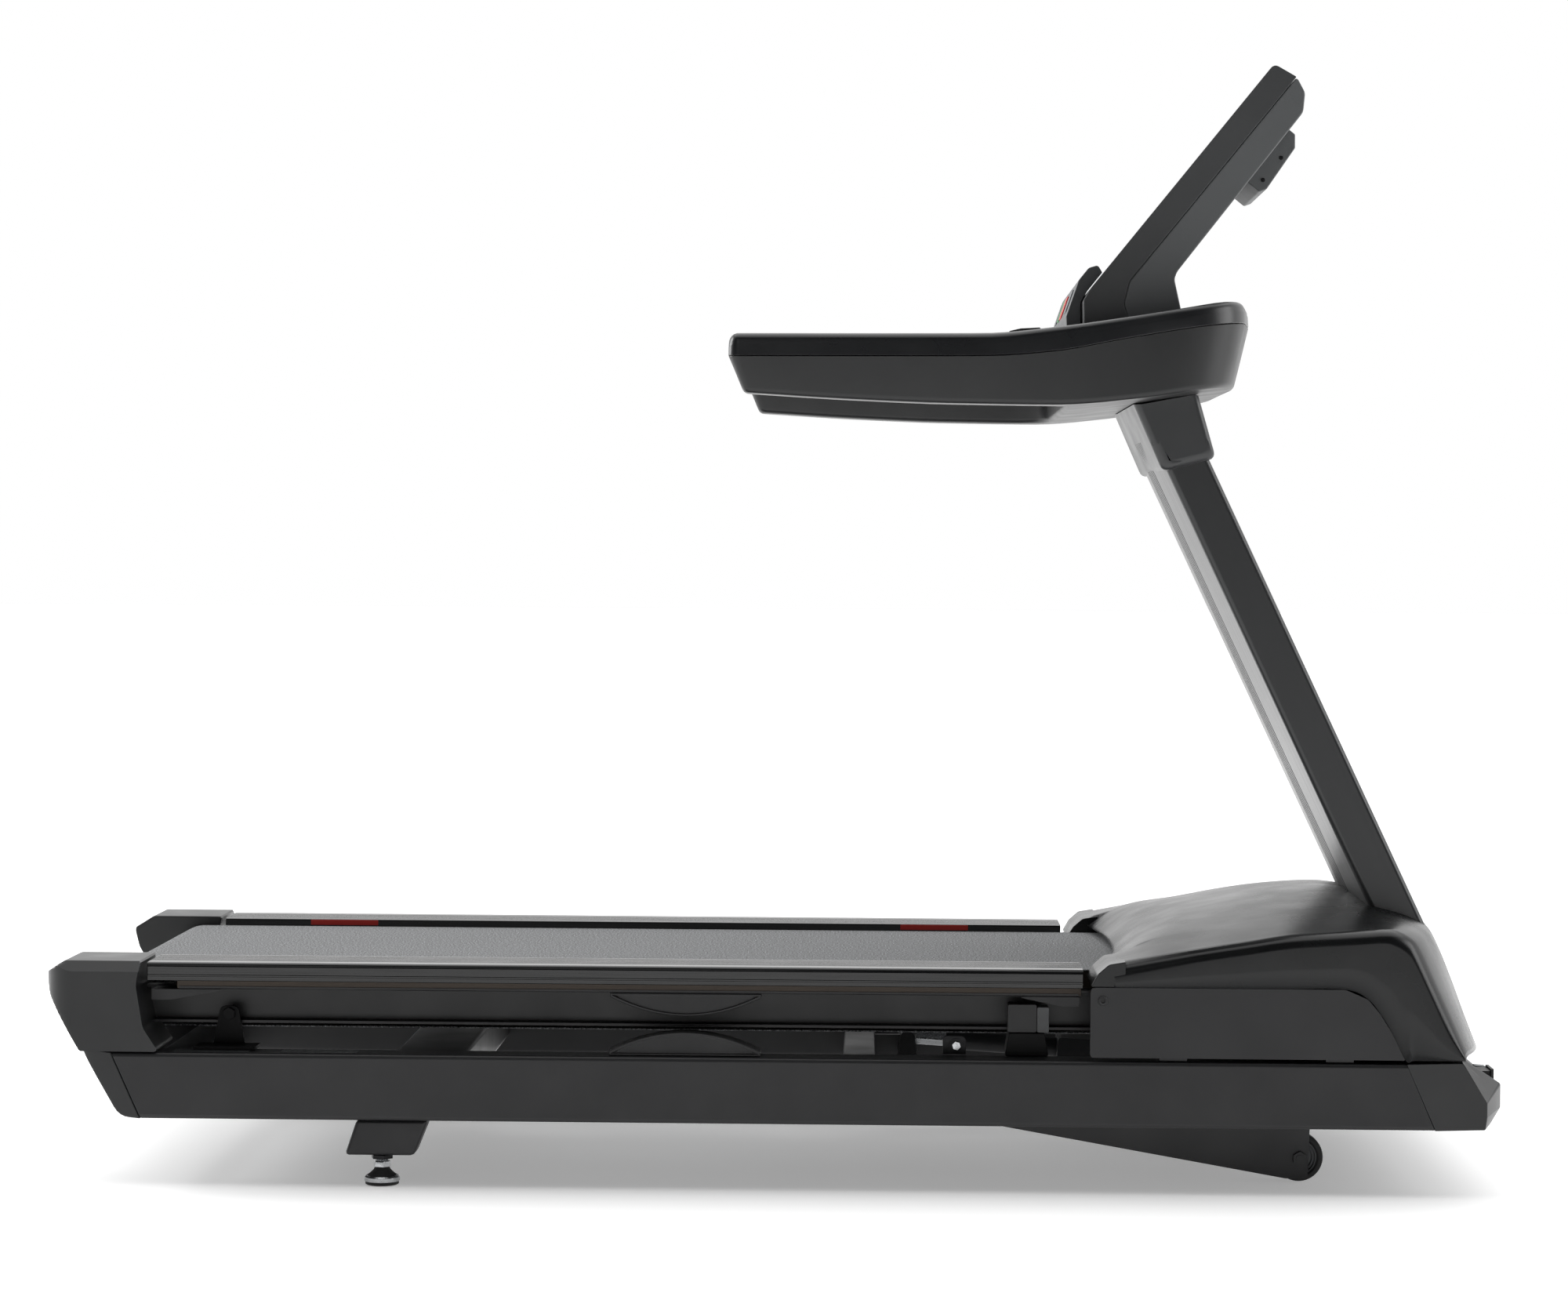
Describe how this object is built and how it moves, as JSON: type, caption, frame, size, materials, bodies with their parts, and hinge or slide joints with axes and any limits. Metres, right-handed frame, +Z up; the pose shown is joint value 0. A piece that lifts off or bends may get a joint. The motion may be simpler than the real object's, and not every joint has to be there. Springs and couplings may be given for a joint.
{
  "type": "treadmill",
  "caption": "Commercial treadmill with a flexing belt deck on a steel base, powered incline, motor hood, wide leaning mast, horseshoe console with handle arms and a reclined display.",
  "frame": {"origin": "on the floor, under the middle of the machine's length and width", "axes": "+X towards the motor hood and display, +Y to the walker's left, +Z up"},
  "size_m": [2.12, 0.84, 1.6431],
  "materials": {
    "frame_paint": "powder-coated steel, fine satin",
    "cap_plastic": "moulded plastic, soft satin",
    "hood_plastic": "moulded plastic, fine grain",
    "rail_plastic": "glossy ribbed plastic",
    "rubber": "black rubber",
    "steel": "zinc-plated steel",
    "motor_paint": "painted castings",
    "mast_aluminium": "anodised extrusion, brushed",
    "console_plastic": "moulded plastic, satin",
    "display_plastic": "moulded plastic, fine grain",
    "glass": "dark display glass",
    "board": "laminated board with waxed faces",
    "belt": "speckled woven belt",
    "red_button": "red button",
    "green_button": "green button",
    "key_plastic": "key plastic"
  },
  "bodies": {
    "base": {"base_tube_right": "frame_paint", "base_tube_left": "frame_paint", "rear_crossmember": "frame_paint", "tail_crossmember": "frame_paint", "lift_crossmember": "frame_paint", "front_crossmember": "frame_paint", "rear_cap_right": "cap_plastic", "rear_cap_left": "cap_plastic", "front_cap_right": "cap_plastic", "front_cap_left": "cap_plastic", "rail_end_cap_right": "cap_plastic", "rail_end_cap_left": "cap_plastic", "rear_leg_right": "frame_paint", "rear_leg_left": "frame_paint", "bump_stop_right": "rubber", "bump_stop_left": "rubber", "deck_isolator_right": "rubber", "deck_isolator_left": "rubber", "deck_pivot_right": "steel", "deck_pivot_left": "steel", "motor_hood": "hood_plastic", "side_panel_right": "hood_plastic", "side_panel_left": "hood_plastic", "belly_pan": "frame_paint", "motor_controller": "motor_paint", "power_inlet": "rubber", "mast": "mast_aluminium", "mast_collar": "console_plastic", "console_lower": "console_plastic", "console_top": "console_plastic", "display_front": "console_plastic", "display_back": "display_plastic", "screen_glass": "glass", "control_pod": "display_plastic"},
    "deck": {"deck_member_right": "frame_paint", "deck_member_left": "frame_paint", "deck_board": "board", "running_belt": "belt", "foot_rail_right": "rail_plastic", "foot_rail_left": "rail_plastic", "drive_shaft": "steel", "idler_shaft": "steel", "drive_motor": "motor_paint", "motor_plate": "steel", "drive_belt": "rubber"},
    "drive_roller": {"drive_roller": "steel"},
    "idler_roller": {"idler_roller": "steel"},
    "flywheel": {"motor_flywheel": "motor_paint"},
    "lift_frame": {"lift_frame": "frame_paint"},
    "lift_wheel_right": {"lift_wheel_right": "rubber"},
    "lift_wheel_left": {"lift_wheel_left": "rubber"},
    "lift_motor": {"lift_motor": "motor_paint"},
    "lift_screw_tube": {"lift_screw_tube": "steel"},
    "foot_right": {"levelling_foot_right": "rubber"},
    "foot_left": {"levelling_foot_left": "rubber"},
    "stop_button": {"stop_button": "red_button"},
    "start_button": {"start_button": "green_button"},
    "incline_toggle": {"incline_toggle": "key_plastic"},
    "speed_toggle": {"speed_toggle": "key_plastic"},
    "power_switch": {"power_switch": "key_plastic"}
  },
  "joints": [
    {"name": "deck_flex", "type": "hinge", "parent": "base", "child": "deck", "pos_m": [-0.8, 0, 0.243], "axis": [0, 1, 0], "range_deg": [0, 0.8], "stiffness_Nm_per_rad": 40000, "springref_deg": -1.72, "deforming": ["deck_isolator_right", "deck_isolator_left"]},
    {"name": "drive_roller_spin", "type": "hinge", "parent": "deck", "child": "drive_roller", "pos_m": [0.6, 0, 0.2642], "axis": [0, 1, 0], "continuous": true},
    {"name": "idler_roller_spin", "type": "hinge", "parent": "deck", "child": "idler_roller", "pos_m": [-0.945, 0, 0.2642], "axis": [0, 1, 0], "continuous": true},
    {"name": "flywheel_spin", "type": "hinge", "parent": "deck", "child": "flywheel", "pos_m": [0.8, 0, 0.27], "axis": [0, 1, 0], "continuous": true},
    {"name": "incline_lift", "type": "hinge", "parent": "base", "child": "lift_frame", "pos_m": [0.2, 0, 0.125], "axis": [0, 1, 0], "range_deg": [0, 20]},
    {"name": "lift_motor_swing", "type": "hinge", "parent": "base", "child": "lift_motor", "pos_m": [0.6, 0, 0.15], "axis": [0, 1, 0], "range_deg": [-1, 1]},
    {"name": "lift_screw_travel", "type": "slide", "parent": "lift_motor", "child": "lift_screw_tube", "axis": [0.9981, 0, -0.0624], "range_m": [0, 0.02]},
    {"name": "lift_wheel_right_roll", "type": "hinge", "parent": "lift_frame", "child": "lift_wheel_right", "pos_m": [0.777, -0.263, 0.036], "axis": [0, 1, 0], "continuous": true},
    {"name": "lift_wheel_left_roll", "type": "hinge", "parent": "lift_frame", "child": "lift_wheel_left", "pos_m": [0.777, 0.263, 0.036], "axis": [0, 1, 0], "continuous": true},
    {"name": "foot_right_turn", "type": "hinge", "parent": "base", "child": "foot_right", "pos_m": [-0.569, -0.378, 0], "axis": [0, 0, 1], "continuous": true},
    {"name": "foot_left_turn", "type": "hinge", "parent": "base", "child": "foot_left", "pos_m": [-0.569, 0.378, 0], "axis": [0, 0, 1], "continuous": true},
    {"name": "stop_button_press", "type": "slide", "parent": "base", "child": "stop_button", "axis": [0.946, 0, -0.3241], "range_m": [0, 0.0022], "stiffness_N_per_m": 900, "springref_m": -0.001},
    {"name": "start_button_press", "type": "slide", "parent": "base", "child": "start_button", "axis": [0.946, 0, -0.3241], "range_m": [0, 0.0022], "stiffness_N_per_m": 900, "springref_m": -0.001},
    {"name": "incline_toggle_rock", "type": "hinge", "parent": "base", "child": "incline_toggle", "pos_m": [0.4333, -0.15, 1.30532], "axis": [0, 1, 0], "range_deg": [-4, 4], "stiffness_Nm_per_rad": 0.5},
    {"name": "speed_toggle_rock", "type": "hinge", "parent": "base", "child": "speed_toggle", "pos_m": [0.4333, 0.15, 1.30532], "axis": [0, 1, 0], "range_deg": [-4, 4], "stiffness_Nm_per_rad": 0.5},
    {"name": "power_switch_rock", "type": "hinge", "parent": "base", "child": "power_switch", "pos_m": [1.042, -0.22, 0.155], "axis": [0, 1, 0], "range_deg": [0, 8]}
  ],
  "couplings": [
    {"joint": "idler_roller_spin", "follows": "drive_roller_spin", "ratio": 1},
    {"joint": "flywheel_spin", "follows": "drive_roller_spin", "ratio": 1.7175},
    {"joint": "lift_motor_swing", "follows": "incline_lift", "ratio": -0.01451},
    {"joint": "lift_screw_travel", "follows": "incline_lift", "m_per_rad": 0.04942}
  ]
}
